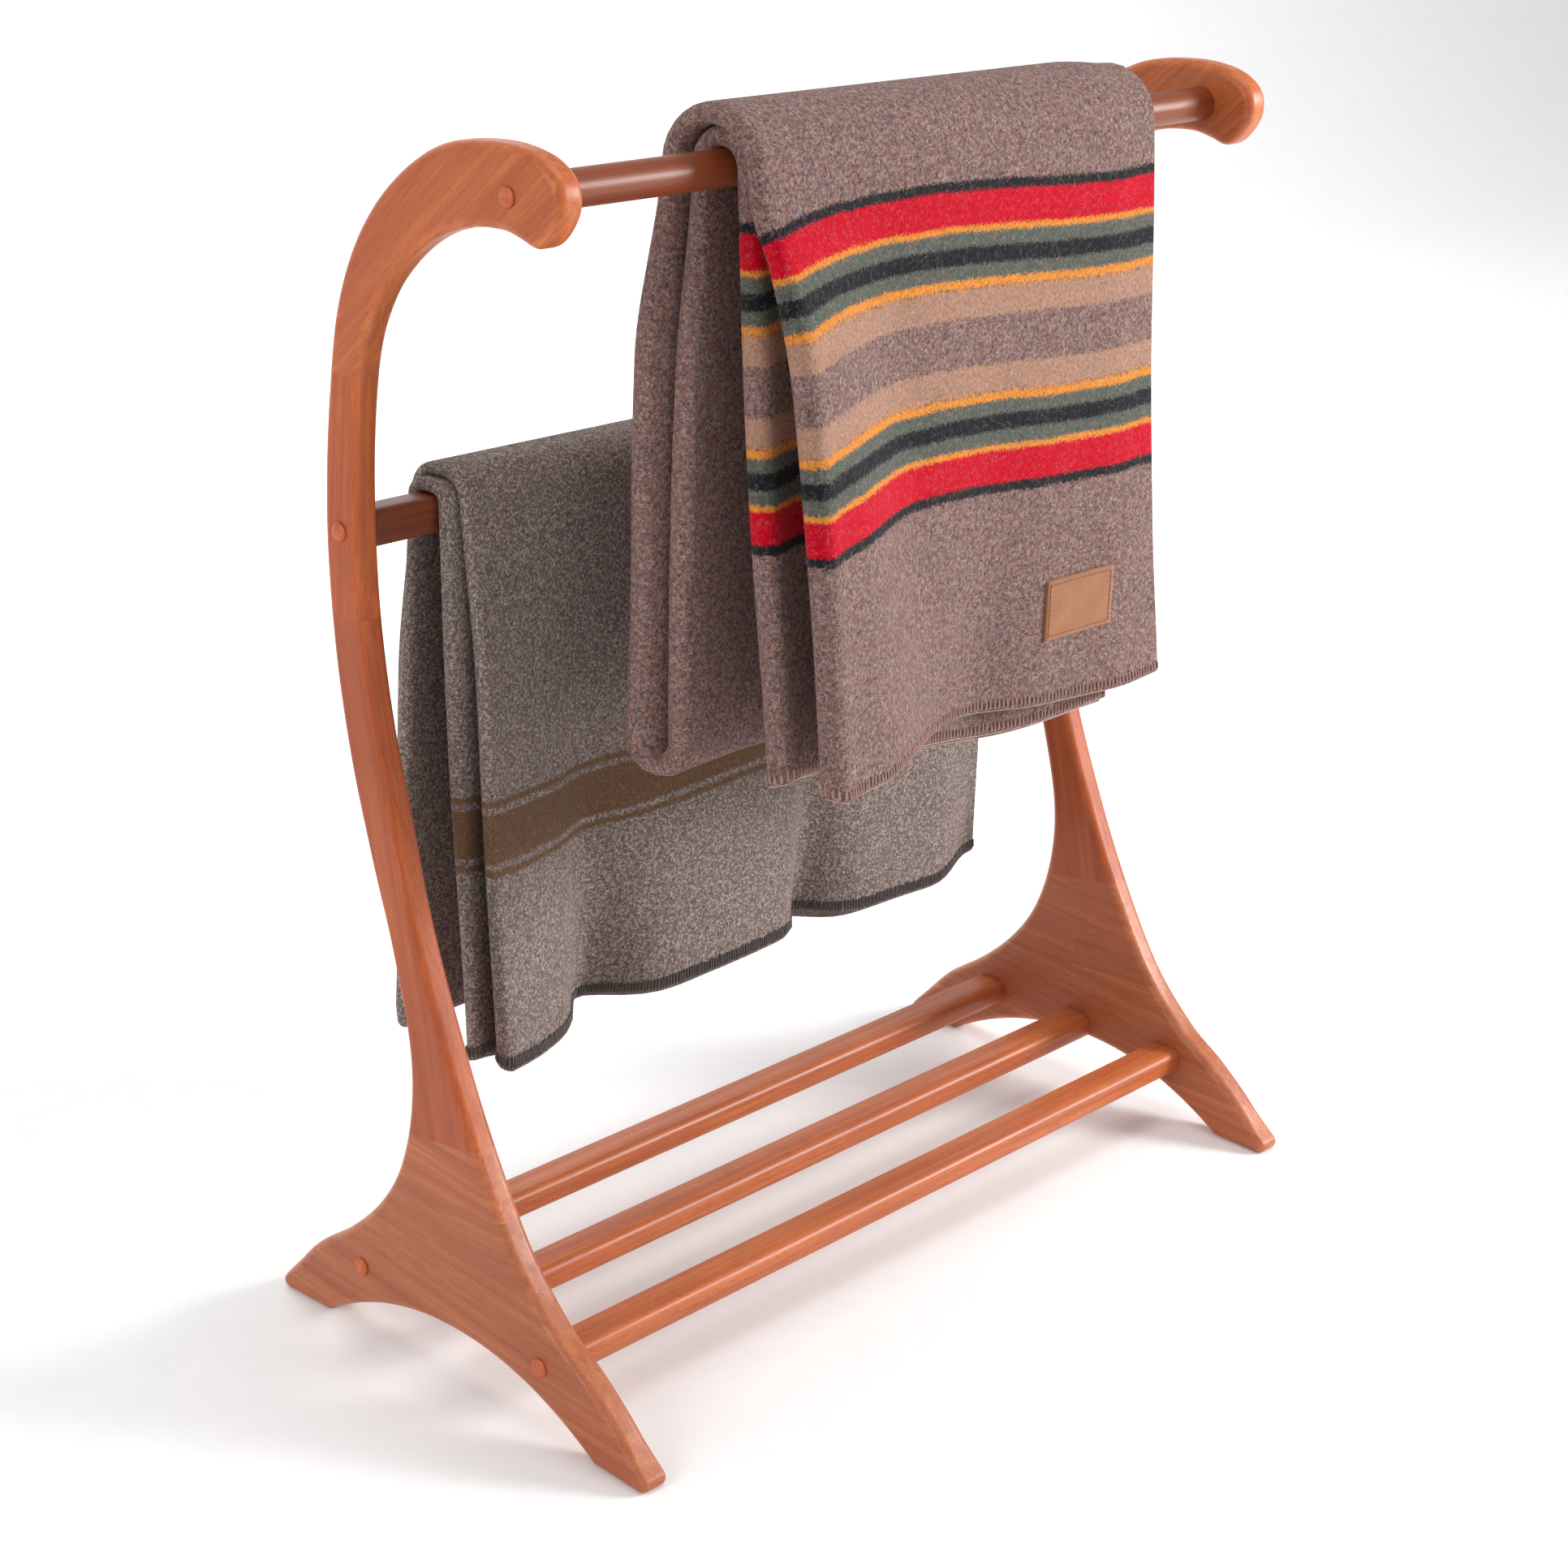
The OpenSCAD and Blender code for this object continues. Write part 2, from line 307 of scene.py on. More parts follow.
def yarn(name, light, dark):
    """Soft spun thread for the stitched edges."""
    m = Nodes(name, Roughness=0.9, Sheen_Weight=0.3)
    twist = m.noise(m.coords(), 700, 3, 0.6)
    m.base_colour(m.ramp(twist, [(0.3, dark), (0.7, light)]))
    m.bump(twist, 0.5, 0.5 * MM)
    return m.material


def suede(name):
    """Caramel suede with a short mottled nap."""
    m = Nodes(name, Roughness=0.85, Sheen_Weight=0.25)
    space = m.coords()
    nap = m.noise(space, 900, 4, 0.7)
    cloud = m.noise(space, 60, 3, 0.6)
    colour = m.ramp(cloud, [(0.3, srgb(148, 92, 56)), (0.7, srgb(164, 108, 68))])
    colour = m.mix(m.map_range(nap, 0.3, 0.7, 0, 0.35), colour, srgb(128, 80, 50))
    m.base_colour(colour)
    m.bump(nap, 0.35, 0.3 * MM)
    return m.material


# ---------------------------------------------------------------- side frames

FRAME_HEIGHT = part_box("left_hook")[1].z
FOOT_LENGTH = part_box("left_rear_foot")[1].y * 2
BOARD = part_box("right_hook")[1].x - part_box("right_hook")[0].x
OUTER_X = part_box("right_hook")[1].x
ROUNDOVER = 7 * MM
TOE_ROUND = 4.5 * MM
TOE_RADIUS = 6 * MM
ARCH_HEIGHT = 44 * MM
ARCH_HALF = 145 * MM
SEAM_TILT = math.tan(math.radians(8))

# The outline in millimetres, as [y, z], for a frame 900 high on feet 394 long
REAR_EDGE = [
    (195.7, 9.7), (183, 24), (157, 52), (118, 81), (85, 114), (62, 152), (50, 200), (51, 252),
    (69, 320), (91, 383), (112, 450), (127, 520), (135, 590), (136, 645), (132, 705), (122, 770),
]
CROWN = [(99, 823), (63, 864), (17, 892), (-33, 900), (-72, 896), (-93, 883), (-97, 864), (-87, 846)]
THROAT = [
    (-74, 838), (-58, 842), (-40, 845), (-10, 842), (24, 830), (55, 808), (80, 778), (96, 737), (103, 670),
]
FRONT_EDGE = [
    (102, 600), (96, 540), (83, 475), (63, 407), (41, 334), (6, 250), (-26, 186), (-62, 127),
    (-101, 86), (-136, 62), (-162, 41), (-184, 20), (-195.4, 10.1),
]


def through(points, steps):
    """A Catmull-Rom curve through the points."""
    p = np.array(points, float)
    p = np.vstack([2 * p[0] - p[1], p, 2 * p[-1] - p[-2]])
    out = []
    for a, b, c, d in zip(p, p[1:], p[2:], p[3:]):
        for t in np.arange(steps) / steps:
            square, cube = 2 * a - 5 * b + 4 * c - d, 3 * b - a - 3 * c + d
            out.append(0.5 * (2 * b + (c - a) * t + square * t**2 + cube * t**3))
    return np.array(out + [p[-2]])


def arc(centre, radius, start, end, steps):
    angles = np.radians(np.linspace(start, end, steps + 1))
    return np.array(centre) + radius * np.stack([np.cos(angles), np.sin(angles)], 1)


def frame_outline():
    """The side frame's outline, in metres, once round."""
    curve = through(REAR_EDGE + CROWN + THROAT + FRONT_EDGE, 8) * [FOOT_LENGTH / 394, FRAME_HEIGHT / 900]
    toe = FOOT_LENGTH / 2 - TOE_RADIUS
    y = np.linspace(-ARCH_HALF, ARCH_HALF, 41)
    arch = np.stack([y, ARCH_HEIGHT * (1 - (np.abs(y) / ARCH_HALF) ** 2.1)], 1)
    return np.vstack([
        curve,
        arc((-toe, TOE_RADIUS), TOE_RADIUS, 150, 270, 8),
        arch,
        arc((toe, TOE_RADIUS), TOE_RADIUS, 270, 385, 8),
    ])


def inset_normals(outline):
    """Outward normals of a closed outline, longer at corners, so that an inset keeps its width."""
    before = unit(outline - np.roll(outline, 1, 0))
    after = unit(np.roll(outline, -1, 0) - outline)
    along = unit(before + after)
    spread = np.clip((along * after).sum(1), 0.6, 1)
    normal = np.stack([along[:, 1], -along[:, 0]], 1)
    area = np.sum(outline[:, 0] * np.roll(outline[:, 1], -1) - np.roll(outline[:, 0], -1) * outline[:, 1])
    return normal * np.sign(area) / spread[:, None]


def rounded_slab(outline, centre_x):
    """A board of that outline with rounded-over edges, as a bmesh."""
    toe = np.array([FOOT_LENGTH / 2 - TOE_RADIUS, TOE_RADIUS])
    to_toe = np.minimum(
        np.linalg.norm(outline - toe, axis=1), np.linalg.norm(outline - toe * [-1, 1], axis=1)
    )
    radius = np.clip(TOE_ROUND + 0.12 * (to_toe - 8 * MM), TOE_ROUND, ROUNDOVER)
    normals = inset_normals(outline)
    quarter = np.radians(np.linspace(90, 0, 7))
    rings, shade_amounts = [], []
    for side, angles in ((-1, quarter), (1, quarter[::-1])):
        for angle in angles:
            inset = radius * (1 - math.cos(angle))
            x = centre_x + side * (BOARD / 2 - radius + radius * math.sin(angle))
            rings.append(np.column_stack([x, outline - normals * inset[:, None]]))
            # painted shade: full on the broad faces and fading out across the roundover, which leaves the
            # roundovers and narrow edges lighter as a painted highlight
            shade_amounts.append(max(0.0, math.sin(angle) ** 8) * 0.8)
    bm = bmesh.new()
    shade = bm.verts.layers.float.new("painted_shade")
    corners = []
    for ring, value in zip(rings, shade_amounts):
        row = [bm.verts.new(p) for p in ring]
        for v in row:
            v[shade] = value
        corners.append(row)
    count = len(outline)
    for low, high in zip(corners, corners[1:]):
        for i in range(count):
            j = (i + 1) % count
            bm.faces.new((low[i], low[j], high[j], high[i]))
    for row in (corners[0], corners[-1]):
        for triangle in tessellate_polygon([[v.co for v in row]]):
            bm.faces.new([row[i] for i in triangle])
    bmesh.ops.recalc_face_normals(bm, faces=bm.faces)
    return bm


def board_normals(mesh, centre_x):
    """Keeps the broad faces flat and the cut ends crisp, and lets the roundovers run smoothly between."""
    count = len(mesh.vertices)
    co = np.empty(count * 3)
    mesh.vertices.foreach_get("co", co)
    co = co.reshape(-1, 3)
    broad = np.abs(co[:, 0] - centre_x) > BOARD / 2 - 0.02 * MM
    cut = np.array([p.material_index == 1 for p in mesh.polygons])
    total = np.zeros((count, 3))
    for polygon in mesh.polygons:
        if not cut[polygon.index]:
            total[list(polygon.vertices)] += np.array(polygon.normal) * polygon.area
    total = unit(total)
    total[broad] = np.sign(co[broad, 0] - centre_x)[:, None] * [1, 0, 0]
    loops = []
    for polygon in mesh.polygons:
        for v in polygon.vertices:
            loops.append(tuple(polygon.normal) if cut[polygon.index] else tuple(total[v]))
    mesh.normals_split_custom_set(loops)


def above(z):
    return ((0, 0, z), (0, 0, 1))


def below(z):
    return ((0, 0, z), (0, 0, -1))


def ahead_of(y):
    return ((0, y, 0), (0, -1, 0))


def beyond(y):
    return ((0, y, 0), (0, 1, 0))


SEAM_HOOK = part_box("left_hook")[0].z
SEAM_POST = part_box("left_upper_post")[0].z
SEAM_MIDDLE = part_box("left_base_middle_front")[1].z
SEAM_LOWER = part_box("left_base_lower")[1].z
SEAM_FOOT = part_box("left_front_foot")[1].z
BUTT_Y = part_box("left_base_middle_front")[1].y
BASE_SEAM = 191 * MM
above_base = ((0, 0, BASE_SEAM), (0, SEAM_TILT, 1))
below_base = ((0, 0, BASE_SEAM), (0, -SEAM_TILT, -1))

# Each board: its name, the planes that bound it, its grain angle in degrees, the tone of its stain. The
# hook's tone is lightened partly as a painted highlight, and the base and foot boards' pinker tones hold
# partly a painted whitish reflection off the varnish.
BOARDS = [
    ("hook", [above(SEAM_HOOK)], 138, (1.44, 1.64, 1.72)),
    ("upper_post", [below(SEAM_HOOK), above(SEAM_POST)], 93, (1.32, 1.28, 1.1)),
    ("lower_post", [below(SEAM_POST), above_base], 77, (1.2, 1.14, 1.1)),
    ("base_top", [below_base, above(SEAM_MIDDLE)], 4, (1.3, 1.7, 2.6)),
    ("base_middle_front", [below(SEAM_MIDDLE), above(SEAM_LOWER), ahead_of(BUTT_Y)], -3, (1.16, 1.62, 2.6)),
    ("base_middle_rear", [below(SEAM_MIDDLE), above(SEAM_LOWER), beyond(BUTT_Y)], 2, (1.26, 1.72, 2.7)),
    ("base_lower", [below(SEAM_LOWER), above(SEAM_FOOT)], 5, (1.2, 1.62, 2.6)),
    ("front_foot", [below(SEAM_FOOT), ahead_of(0)], 3, (1.28, 1.7, 2.7)),
    ("rear_foot", [below(SEAM_FOOT), beyond(0)], 6, (1.22, 1.65, 2.6)),
]


def side_frame(side, centre_x, shift):
    outline = frame_outline()
    for index, (part, planes, grain, tone) in enumerate(BOARDS):
        bm = rounded_slab(outline, centre_x)
        for point, keep in planes:
            geometry = bm.verts[:] + bm.edges[:] + bm.faces[:]
            cut = bmesh.ops.bisect_plane(
                bm, geom=geometry, dist=1e-6, plane_co=point, plane_no=keep, clear_inner=True
            )
            edges = [g for g in cut["geom_cut"] if isinstance(g, bmesh.types.BMEdge)]
            filled = bmesh.ops.holes_fill(bm, edges=edges)
            for face in filled["faces"]:
                face.material_index = 1
        bmesh.ops.recalc_face_normals(bm, faces=bm.faces)
        name = f"{side}_{part}_board"
        turn = (math.radians(-grain), 0, math.radians(-90))
        material = varnished_wood(name, turn, tone, (shift + index * 0.37, index * 0.21, shift))
        obj = new_object(name, [], [], None)
        bm.to_mesh(obj.data)
        bm.free()
        obj.data.polygons.foreach_set("use_smooth", [True] * len(obj.data.polygons))
        board_normals(obj.data, centre_x)
        obj.data.materials.append(material)
        obj.data.materials.append(material)
        finish_piece(obj, "rack", "varnished_wood", f"{side}_{part}")


for side, sign in (("left", -1), ("right", 1)):
    side_frame(side, sign * (OUTER_X - BOARD / 2), 1.7 + sign)

# ---------------------------------------------------------------- rails and plugs


def rounded_rectangle(width, height, radii, steps=8):
    w, h = width / 2, height / 2
    quarters = [
        ((w, h), (-1, -1), 0), ((-w, h), (1, -1), 90), ((-w, -h), (1, 1), 180), ((w, -h), (-1, 1), 270),
    ]
    return np.vstack([
        arc((cy + sy * r, cz + sz * r), r, start, start + 90, steps)
        for ((cy, cz), (sy, sz), start), r in zip(quarters, radii)
    ])


def rail(name, profile, grain_offset, tone):
    """A rail with this Y-Z profile between the ends of its CAD node, with painted shade where it meets the
    frames.
    """
    low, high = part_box(name)
    centre = (np.array(low) + np.array(high)) / 2
    inner = OUTER_X - BOARD
    x_rows = [low.x, -inner + 0.2 * MM, -inner + 1.2 * MM, -inner + 4 * MM, 0]
    x_rows = sorted(set(x_rows + [-x for x in x_rows]))
    rows, shade_amounts = [], []
    for x in x_rows:
        rows.append([(x, centre[1] + y, centre[2] + z) for y, z in profile])
        # painted shade over the last 3 mm before the frame, full inside it
        shade_amounts += [max(0.0, 1 - (inner - abs(x)) / (3 * MM))] * len(profile)
    verts = [p for row in rows for p in row]
    faces = grid_faces(len(rows), len(profile), closed=True)
    faces += [tuple(reversed(range(len(profile)))), tuple(range(len(verts) - len(profile), len(verts)))]
    obj = new_object(name + "_bar", verts, faces, varnished_wood(name, (0, 0, 0), tone, grain_offset))
    store(obj, "painted_shade", np.clip(shade_amounts, 0, 1))
    obj.data.set_sharp_from_angle(angle=math.radians(40))
    return finish_piece(obj, "rack", "varnished_wood", name)


def circle(diameter, steps=64):
    angles = np.radians(np.arange(steps) * 360 / steps)
    return diameter / 2 * np.stack([np.cos(angles), np.sin(angles)], 1)


def size_of(node):
    low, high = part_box(node)
    return high - low


# One stain for all rails, with painted light and shade in the tones: the top and middle rails are darkened as
# painted shade, the shelf rails lightened as painted light
TOP_RAIL_SHADED_TONE = (0.62, 0.58, 0.52)
MIDDLE_RAIL_SHADED_TONE = (0.45, 0.42, 0.42)
SHELF_LIT_TINT = (1, 1.15, 1.35)
PLUG_TONE = (1.35, 1.35, 1.35)

rail("top_rail", circle(size_of("top_rail").z), (3.1, 0.2, 0.4), TOP_RAIL_SHADED_TONE)
middle_size = size_of("middle_rail")
middle_profile = rounded_rectangle(middle_size.y, middle_size.z, [4 * MM] * 4)
rail("middle_rail", middle_profile, (1.2, 0.5, 0.1), MIDDLE_RAIL_SHADED_TONE)
for number, node in enumerate(("rear_shelf_rail", "centre_shelf_rail", "front_shelf_rail")):
    shelf_size = size_of(node)
    profile = rounded_rectangle(shelf_size.y, shelf_size.z, [2 * MM, 7 * MM, 7 * MM, 3 * MM])
    tone = [(1.25 + 0.06 * number) * t for t in SHELF_LIT_TINT]
    rail(node, profile, (5.3 + number, 0.3 * number, 0.7), tone)


def plug(node, index):
    """A domed wooden plug with its grain across the dome."""
    low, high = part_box(node)
    side = 1 if high.x > 0 else -1
    face = side * OUTER_X
    proud = max(abs(low.x), abs(high.x)) - OUTER_X
    radius = (high.z - low.z) / 2
    centre = (low + high) / 2
    profile = [(radius * 0.94, -2 * MM), (radius * 0.97, 0.0)]
    for angle in np.radians(np.linspace(0, 86, 8)):
        profile.append((radius * math.cos(angle), 0.9 * MM + (proud - 0.9 * MM) * math.sin(angle)))
    verts = []
    for r, out in profile:
        for dy, dz in circle(2 * r, 36):
            verts.append((face + side * out, centre.y + dy, centre.z + dz))
    faces = grid_faces(len(profile), 36, closed=True)
    faces += [tuple(range(36)), tuple(range(len(verts) - 36, len(verts)))]
    obj = new_object(node + "_dome", verts, faces)
    turn_outwards(obj)
    turn = (math.radians(35 * index), 0, math.radians(90))
    obj.data.materials.append(varnished_wood(node, turn, PLUG_TONE, (index * 0.7, 0.4, 0)))
    finish_piece(obj, "rack", "varnished_wood", node)


for index, name in enumerate(("hook", "middle", "rear", "front")):
    plug(f"left_{name}_plug", index)
    plug(f"right_{name}_plug", index + 4)


def refinish(node, material):
    """Gives a CAD node that stays in place its finished material."""
    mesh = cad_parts[node].data
    mesh.materials.clear()
    mesh.materials.append(material)


beech = plain_wood("beech_dowel")
zinc = zinc_steel("zinc_steel")
for side in ("left", "right"):
    refinish(f"{side}_rail_screws", zinc)
    refinish(f"{side}_rail_dowels", beech)
    refinish(f"{side}_joint_dowels", beech)

# ---------------------------------------------------------------- blankets


class Saddle:
    """The rail a blanket hangs over: where its top curves turn, its corner radius and half its flat top."""

    def __init__(self, y, z, radius, half_flat=0.0):
        self.y, self.z, self.radius, self.half_flat = y, z, radius, half_flat


class Half:
    """One half of a folded blanket, four layers thick, from its front edge over the rail to its foot behind.

    offset      from the rail's surface to the middle of the four layers
    loose       how much thicker than pressed flat the layers lie, by the place across and the drop
    left, right the side edges, functions of the drop below the rail, positive in front and negative behind
    push        how far a point is pushed in Y, a function of x and of that drop
    front, back the lengths of its drops, front by the place across, 0 at the left and 1 at the right
    shift       how far the whole half is moved back
    belly       how far the layers stand off the sides of the rail
    droop       how far the cloth has stretched along its left fold, as a share of the height over the hem
    """

    def __init__(self, offset, loose, left, right, push, front, back, shift=0.0, belly=0.0, droop=0.0):
        self.offset, self.loose, self.left, self.right = offset, loose, left, right
        self.push, self.front, self.back = push, front, back
        self.shift, self.belly, self.droop = shift, belly, droop


def half_surface(saddle, half, across, rows):
    """The middle surface of a half: points, ways out, up and sideways, heights over the hem, looseness."""
    radius = saddle.radius + half.offset
    quarter = radius * math.pi / 2
    a = across[None, :]
    front = np.broadcast_to(half.front(a), (1, len(across)))
    pieces = []
    step = np.linspace(1, 0, rows["front"], endpoint=False)[:, None]
    pieces.append(saddle.half_flat + quarter + front * step)
    turn = np.linspace(1, -1, rows["turn"])[:, None]
    pieces.append(np.broadcast_to((saddle.half_flat + quarter) * turn, (rows["turn"], len(across))))
    step = np.linspace(0, 1, rows["back"] + 1)[1:, None]
    behind = -(saddle.half_flat + quarter + half.back * step)
    pieces.append(np.broadcast_to(behind, (rows["back"], len(across))))
    s = np.vstack(pieces)
    beyond = np.clip(np.abs(s) - saddle.half_flat, 0, quarter)
    angle = beyond / radius
    side = np.sign(s)
    drop = np.clip(np.abs(s) - saddle.half_flat - quarter, 0, None) * side
    loose = half.loose(a, np.abs(drop))
    swell = saddle.radius + half.offset * loose
    stand_off = (swell + half.belly * np.sin(angle)) * np.sin(angle)
    y = saddle.y + half.shift - side * (np.clip(np.abs(s), 0, saddle.half_flat) + stand_off)
    left, right = half.left(drop), half.right(drop)
    x = left + (right - left) * a
    y = y + half.push(x, drop)
    # the leaning and swinging parts hang a little higher, because their length is fixed
    z = saddle.z + swell * np.cos(angle)
    hung = np.abs(drop)
    last_turn = rows["front"] + rows["turn"] - 1
    for previous, hanging in (
        (rows["front"], range(rows["front"] - 1, -1, -1)),
        (last_turn, range(last_turn + 1, len(s))),
    ):
        for row in hanging:
            length = hung[row] - hung[previous]
            lean = (y[row] - y[previous]) ** 2 + (x[row] - x[previous]) ** 2
            z[row] = z[previous] - np.sqrt(np.maximum(length**2 - lean, (0.3 * length) ** 2))
            previous = row
    points = np.stack([x, y, z], -1)
    down = unit(np.gradient(points, axis=0))
    sideways = unit(np.gradient(points, axis=1))
    normals = unit(np.cross(sideways, down))
    hem = (saddle.half_flat + quarter + front - s) * (1 + half.droop * np.exp(-a / 0.13))
    return points, normals, -down, sideways, hem, loose


FOLD_STEPS = 7


def layer_walk(columns):
    """One way across a half folded in four: the place across, the reach past the edge, the layer and the ply.

    The layer runs from -1.5 to 1.5.
    The cloth starts at the right on one face and turns round the left edge to the other face. It turns back
    at the right and then lies inside, round the inner of the two left folds.
    """
    across = np.arange(columns) / (columns - 1)
    place, past, layer, ply = [], [], [], []

    def run(values, level, number):
        place.extend(values)
        past.extend([0.0] * len(values))
        layer.extend([level] * len(values))
        ply.extend([number] * len(values))

    def fold(edge, start, end, side, number):
        middle, radius = (start + end) / 2, abs(end - start) / 2
        for k in range(1, FOLD_STEPS + 1):
            angle = math.pi * k / (FOLD_STEPS + 1)
            place.append(edge)
            past.append(side * radius * math.sin(angle))
            layer.append(middle + (start - middle) * math.cos(angle))
            ply.append(number + k / (FOLD_STEPS + 1))

    run(across[::-1], -1.5, 0)
    fold(0.0, -1.5, 1.5, -1, 0)
    run(across, 1.5, 1)
    fold(1.0, 1.5, 0.5, 1, 1)
    run(across[::-1], 0.5, 2)
    fold(0.0, 0.5, -0.5, -1, 2)
    run(across, -0.5, 3)
    return np.array(place), np.array(past), np.array(layer), np.array(ply)


class FoldedBlanket:
    """A blanket folded in four across, doubled along, and hung with both its ends in front."""

    def __init__(self, name, saddle, outer, inner, thickness, columns, rows, stagger):
        self.name, self.thickness, self.columns = name, thickness, columns
        across = np.linspace(0, 1, columns)
        place, past, layer, ply = layer_walk(columns)
        index = np.rint(place * (columns - 1)).astype(int)
        late = np.interp(ply, range(4), stagger)
        grids = []
        for half, sign in ((outer, 1), (inner, -1)):
            points, normals, up, sideways, hem, loose = half_surface(saddle, half, across, rows)
            spread = thickness * loose[:, index, None]
            weight = smooth_step(1 - hem / 0.09)[:, index, None]
            grid = (
                points[:, index]
                + normals[:, index] * (layer * sign)[None, :, None] * spread
                + sideways[:, index] * past[None, :, None] * spread
                - up[:, index] * late[None, :, None] * weight
            )
            grids.append((grid, hem[:, index], normals[:, index], points[:, index]))
        (outer_grid, outer_hem, outer_normals, self.middle), (inner_grid, inner_hem, _, _) = grids
        ends = (outer_grid[-1], inner_grid[-1])
        middle = (ends[0] + ends[1]) / 2
        reach = np.linalg.norm(ends[0] - ends[1], axis=1)[:, None] / 2
        turns = []
        for k in range(1, FOLD_STEPS + 1):
            angle = math.pi * k / (FOLD_STEPS + 1)
            sag = np.array([0, 0, -1]) * reach * math.sin(angle)
            turns.append(middle + (ends[0] - middle) * math.cos(angle) + sag)
        far = np.full((FOLD_STEPS, len(place)), outer_hem[-1].max())
        self.grid = np.concatenate([outer_grid, np.array(turns), inner_grid[::-1]])
        self.hem = np.concatenate([outer_hem, far, inner_hem[::-1]])
        self.outer_grid, self.outer_normals, self.outer_hem = outer_grid, outer_normals, outer_hem
        self.face_columns = slice(columns + FOLD_STEPS, 2 * columns + FOLD_STEPS)

    def build(self, material, body, slot, node):
        self.body, self.slot = body, slot
        rows, cols = self.hem.shape
        obj = new_object(self.name, self.grid.reshape(-1, 3), grid_faces(rows, cols), material)
        store(obj, "hem_distance", self.hem.ravel())
        solid = obj.modifiers.new("thickness", "SOLIDIFY")
        solid.thickness = self.thickness * 0.94
        solid.offset = 0
        return finish_piece(obj, body, slot, node)

    def outer_face(self, across, hem_distance):
        """A point on the outside of the front and the way out, by place across and height over the hem."""
        columns = self.outer_grid[:, self.face_columns]
        normals = self.outer_normals[:, self.face_columns]
        hems = self.outer_hem[:, self.face_columns]
        c = across * (self.columns - 1)
        c0 = min(int(c), self.columns - 2)
        found = []
        for column in (c0, c0 + 1):
            h = hems[:, column]
            point = [np.interp(hem_distance, h, columns[:, column, k]) for k in range(3)]
            normal = [np.interp(hem_distance, h, normals[:, column, k]) for k in range(3)]
            found.append((np.array(point), np.array(normal)))
        w = c - c0
        point = found[0][0] * (1 - w) + found[1][0] * w
        normal = unit(found[0][1] * (1 - w) + found[1][1] * w)
        return point + normal * self.thickness / 2, normal


TOP_PLY = 3.9 * MM
LOW_PLY = 2.35 * MM
top_rail_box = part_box("top_rail")
middle_rail_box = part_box("middle_rail")
top_low, top_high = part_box("top_blanket")
low_low, low_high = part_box("lower_blanket")

top_centre = (top_rail_box[0] + top_rail_box[1]) / 2
top_saddle = Saddle(top_centre.y, top_centre.z, size_of("top_rail").z / 2 + 0.4 * MM)
middle_centre = (middle_rail_box[0] + middle_rail_box[1]) / 2
low_saddle = Saddle(
    middle_centre.y, middle_rail_box[1].z - 4 * MM, 4.4 * MM, half_flat=(middle_size.y / 2 - 4 * MM)
)

TOP_DROP = 0.448
LOW_DROP = 0.425


def hump(x, centre, width):
    return np.exp(-(((x - centre) / width) ** 2))


def hang_shares(d, drop):
    """How far down a point hangs in front and behind, as shares of the whole drop."""
    return np.clip(d, 0, None) / drop, np.clip(-d, 0, None) / drop


def ripple(x, d, phase):
    """The slight unevenness of thick cloth."""
    return 1.1 * MM * np.sin(x * 43 + d * 11 + phase) * np.sin(d * 17 - x * 9 + phase * 2)


def top_outer_push(x, d):
    front, behind = hang_shares(d, TOP_DROP)
    shoulder = -0.13 + 0.095 * front
    width = 0.055 + 0.015 * front
    flare = smooth_step((shoulder + width - x) / (2 * width))
    forward = -0.045 * (1 - (1 - np.clip(front, 0, 1)) ** 2.2) * smooth_step(d / 0.06) * flare
    valley = 0.016 * hump(x, 0.07, 0.05) * front**2
    right = -0.006 * smooth_step((x - 0.15) / 0.1) * front**1.5
    return forward + valley + right + 0.008 * behind + ripple(x, d, 1.0) * (front + behind)


def top_inner_push(x, d):
    front, behind = hang_shares(d, TOP_DROP)
    flare = smooth_step((-0.02 - x) / 0.1)
    forward = -0.024 * front**1.1 * flare
    valley = 0.010 * hump(x, 0.07, 0.06) * front**2
    return forward + valley + 0.008 * behind + ripple(x, d, 2.5) * 0.7 * (front + behind)


def slide_with(start, lean, drop, wave=0.0, phase=0.0, behind=0.0):
    """A side edge that leans to the right in front as it drops, and by another amount behind."""
    def edge(d):
        swing = lean * np.clip(d, 0, None) / drop + behind * np.clip(-d, 0, None) / drop
        return start + swing + wave * np.sin(d * 14 + phase)
    return edge


def looseness(edge, reach, width, packed=0.0):
    """Layers that stay pressed over the rail and open out towards the left edge as they hang."""
    def loose(a, drop):
        open_edge = edge * np.exp(-a * width / reach) * smooth_step(drop / 0.14)
        return 1 + open_edge - packed * smooth_step((a - 0.86) / 0.14)
    return loose


fold_room = 2 * TOP_PLY
top_loose = looseness(0.55, 0.035, 0.46, 0.16)
top_outer = Half(
    offset=6 * TOP_PLY,
    loose=top_loose,
    left=slide_with(top_low.x + fold_room, 0.040, TOP_DROP, 2.0 * MM, 0.4),
    right=slide_with(top_high.x - 0.052 - TOP_PLY, 0.050, TOP_DROP, 2.5 * MM, 1.3),
    push=top_outer_push,
    front=lambda a: TOP_DROP - 0.0065 - 0.002 * (1 - smooth_step(a / 0.35)) - 0.006 * np.sin(a * 5),
    back=0.420,
    shift=1 * MM,
    belly=3 * MM,
    droop=0.036,
)
top_inner = Half(
    offset=2 * TOP_PLY,
    loose=top_loose,
    left=slide_with(top_low.x + 0.008 + fold_room, 0.026, TOP_DROP, 2.0 * MM, 2.0, behind=0.008),
    right=slide_with(top_high.x - 0.060, 0.018, TOP_DROP, 2.0 * MM, 0.2),
    push=top_inner_push,
    front=lambda a: TOP_DROP - 0.013 + 0.036 * smooth_step(a / 0.7),
    back=0.420,
    droop=0.036,
)

top_blanket = FoldedBlanket(
    "top_wool_blanket", top_saddle, top_outer, top_inner, TOP_PLY, 46,
    {"front": 44, "turn": 15, "back": 42}, [7 * MM, 0.0, 1.5 * MM, 5 * MM],
)


